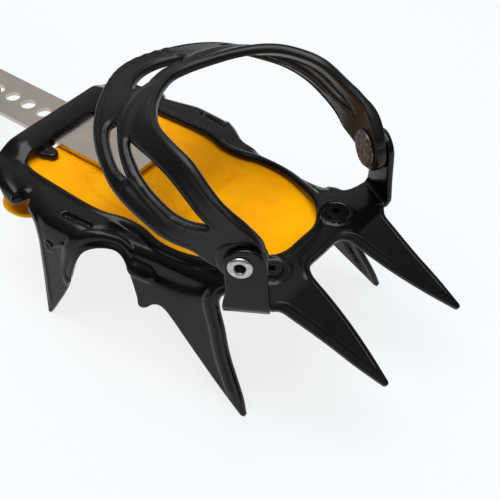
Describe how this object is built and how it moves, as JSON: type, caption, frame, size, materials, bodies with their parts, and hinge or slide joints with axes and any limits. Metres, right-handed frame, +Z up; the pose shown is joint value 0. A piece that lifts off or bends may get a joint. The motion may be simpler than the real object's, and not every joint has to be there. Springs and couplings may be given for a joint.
{
  "type": "ice crampon",
  "caption": "Strap-on walking crampon: two black toothed steel frames on a drilled bar, plastic toe and heel baskets, yellow anti-snow plates, ankle strap.",
  "frame": {"origin": "centre of the bounding box footprint, on the ground under the point tips", "axes": "+X towards the front points, +Y to the wearer's left, +Z up"},
  "size_m": [0.3834, 0.1154, 0.1623],
  "materials": {
    "frame_black": "satin black paint over stamped steel",
    "eyelet_black": "satin black",
    "plate_yellow": "smooth flexible plastic",
    "basket_black": "soft satin moulding",
    "rivet_steel": "bright rolled steel",
    "bar_steel": "polished spring steel",
    "latch_black": "satin black",
    "latch_steel": "bright steel",
    "webbing_black": "woven webbing",
    "ring_steel": "bright wire"
  },
  "bodies": {
    "front_part": {"front_frame": "frame_black", "front_antiball_plate": "plate_yellow", "front_antiball_eyelets": "eyelet_black", "toe_basket_rivet_left": "rivet_steel", "toe_basket_rivet_right": "rivet_steel", "link_bar": "bar_steel"},
    "toe_basket_body": {"toe_basket": "basket_black"},
    "heel_part": {"heel_frame": "frame_black", "heel_antiball_plate": "plate_yellow", "heel_antiball_eyelets": "eyelet_black", "heel_basket_rivet_left": "rivet_steel", "heel_basket_rivet_right": "rivet_steel", "latch_bracket": "latch_black", "latch_bracket_rivets": "latch_steel", "latch_axle": "latch_steel", "latch_spring": "latch_steel"},
    "heel_basket_body": {"heel_basket": "basket_black", "ankle_strap": "webbing_black", "buckle_strap": "webbing_black", "strap_ring": "ring_steel"},
    "latch_body": {"latch_lever": "latch_black", "latch_stud": "latch_steel"}
  },
  "joints": [
    {"name": "toe_basket_swing", "type": "hinge", "parent": "front_part", "child": "toe_basket_body", "pos_m": [0.1382, 0, 0.078], "axis": [0, 1, 0], "range_deg": [-12, 20]},
    {"name": "length_slide", "type": "slide", "parent": "front_part", "child": "heel_part", "axis": [1, 0, 0], "range_m": [-0.01, 0.05]},
    {"name": "heel_basket_swing", "type": "hinge", "parent": "heel_part", "child": "heel_basket_body", "pos_m": [-0.1338, 0, 0.08], "axis": [0, 1, 0], "range_deg": [-15, 20]},
    {"name": "latch_lift", "type": "hinge", "parent": "heel_part", "child": "latch_body", "pos_m": [-0.1258, 0, 0.0565], "axis": [0, -1, 0], "range_deg": [0, 35], "stiffness_Nm_per_rad": 0.03, "springref_deg": -17.19}
  ]
}
